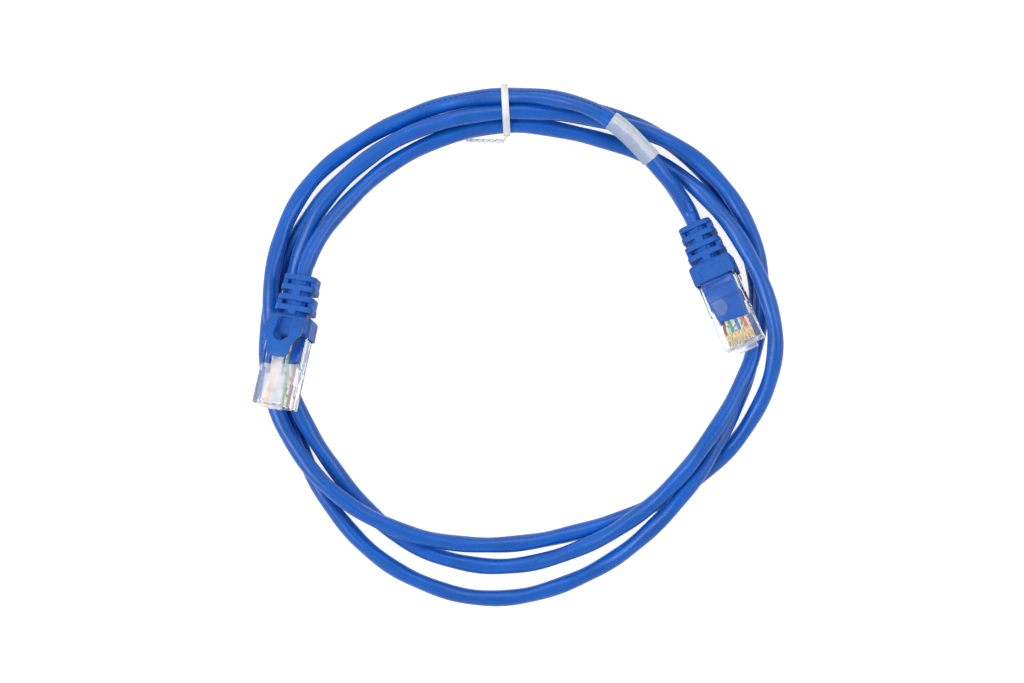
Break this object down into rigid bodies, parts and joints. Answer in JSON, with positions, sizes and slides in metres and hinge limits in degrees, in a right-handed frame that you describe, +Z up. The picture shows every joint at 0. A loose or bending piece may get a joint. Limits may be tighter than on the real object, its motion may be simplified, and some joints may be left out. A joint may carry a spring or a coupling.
{
  "type": "ethernet patch cable",
  "caption": "Coiled network patch cord with a clear modular plug, a ribbed strain-relief boot and a hooded latch at each end, a marker sleeve and a twist tie.",
  "frame": {"origin": "On the surface the coil lies on, midway between the two plugs.", "axes": "+Z up off the surface, +X from the left plug to the right plug, +Y to the tied side of the coil."},
  "size_m": [0.1511, 0.1519, 0.0273],
  "materials": {
    "boot": "satin flexible PVC",
    "clear": "clear polycarbonate",
    "contact": "gold plated",
    "insert": "satin",
    "jacket": "semi-gloss flexible PVC",
    "marker": "milky film",
    "pair_blue": "satin",
    "pair_brown": "satin",
    "pair_green": "satin",
    "pair_orange": "satin",
    "tie": "coated",
    "tie_wire": "drawn wire",
    "wire_blue": "satin",
    "wire_brown": "satin",
    "wire_green": "satin",
    "wire_orange": "satin",
    "wire_white_blue": "satin",
    "wire_white_brown": "satin",
    "wire_white_green": "satin",
    "wire_white_orange": "satin"
  },
  "bodies": {
    "cable": {"jacket": "jacket", "pair_blue": "pair_blue", "pair_orange": "pair_orange", "pair_green": "pair_green", "pair_brown": "pair_brown", "left_housing": "clear", "left_boot": "boot", "left_insert": "insert", "left_contact_1": "contact", "left_contact_2": "contact", "left_contact_3": "contact", "left_contact_4": "contact", "left_contact_5": "contact", "left_contact_6": "contact", "left_contact_7": "contact", "left_contact_8": "contact", "left_wire_1": "wire_white_orange", "left_wire_2": "wire_orange", "left_wire_3": "wire_white_green", "left_wire_4": "wire_blue", "left_wire_5": "wire_white_blue", "left_wire_6": "wire_green", "left_wire_7": "wire_white_brown", "left_wire_8": "wire_brown", "right_housing": "clear", "right_boot": "boot", "right_insert": "insert", "right_contact_1": "contact", "right_contact_2": "contact", "right_contact_3": "contact", "right_contact_4": "contact", "right_contact_5": "contact", "right_contact_6": "contact", "right_contact_7": "contact", "right_contact_8": "contact", "right_wire_1": "wire_white_orange", "right_wire_2": "wire_orange", "right_wire_3": "wire_white_green", "right_wire_4": "wire_blue", "right_wire_5": "wire_white_blue", "right_wire_6": "wire_green", "right_wire_7": "wire_white_brown", "right_wire_8": "wire_brown", "marker": "marker", "tie": "tie", "tie_tail": "tie", "tie_wire": "tie_wire"},
    "left_latch_body": {"left_latch": "clear"},
    "left_hood_body": {"left_hood": "boot"},
    "right_latch_body": {"right_latch": "clear"},
    "right_hood_body": {"right_hood": "boot"}
  },
  "joints": [
    {"name": "left_latch_press", "type": "hinge", "parent": "cable", "child": "left_latch_body", "pos_m": [-0.06746, -0.02453, 0.02425], "axis": [-0.9664, 0.1561, -0.2041], "range_deg": [0, 9], "stiffness_Nm_per_rad": 0.2},
    {"name": "left_hood_press", "type": "hinge", "parent": "cable", "child": "left_hood_body", "pos_m": [-0.06352, -0.00288, 0.02212], "axis": [0.9664, -0.1561, 0.2041], "range_deg": [0, 15.3]},
    {"name": "right_latch_press", "type": "hinge", "parent": "cable", "child": "right_latch_body", "pos_m": [0.06754, -0.00843, 0.01068], "axis": [0.8918, 0.4054, 0.2008], "range_deg": [0, 9], "stiffness_Nm_per_rad": 0.2},
    {"name": "right_hood_press", "type": "hinge", "parent": "cable", "child": "right_hood_body", "pos_m": [0.06043, 0.01102, 0.00296], "axis": [-0.8918, -0.4054, -0.2008], "range_deg": [0, 15.3]}
  ],
  "couplings": [
    {"joint": "left_hood_press", "follows": "left_latch_press", "ratio": 1.7},
    {"joint": "right_hood_press", "follows": "right_latch_press", "ratio": 1.7}
  ]
}
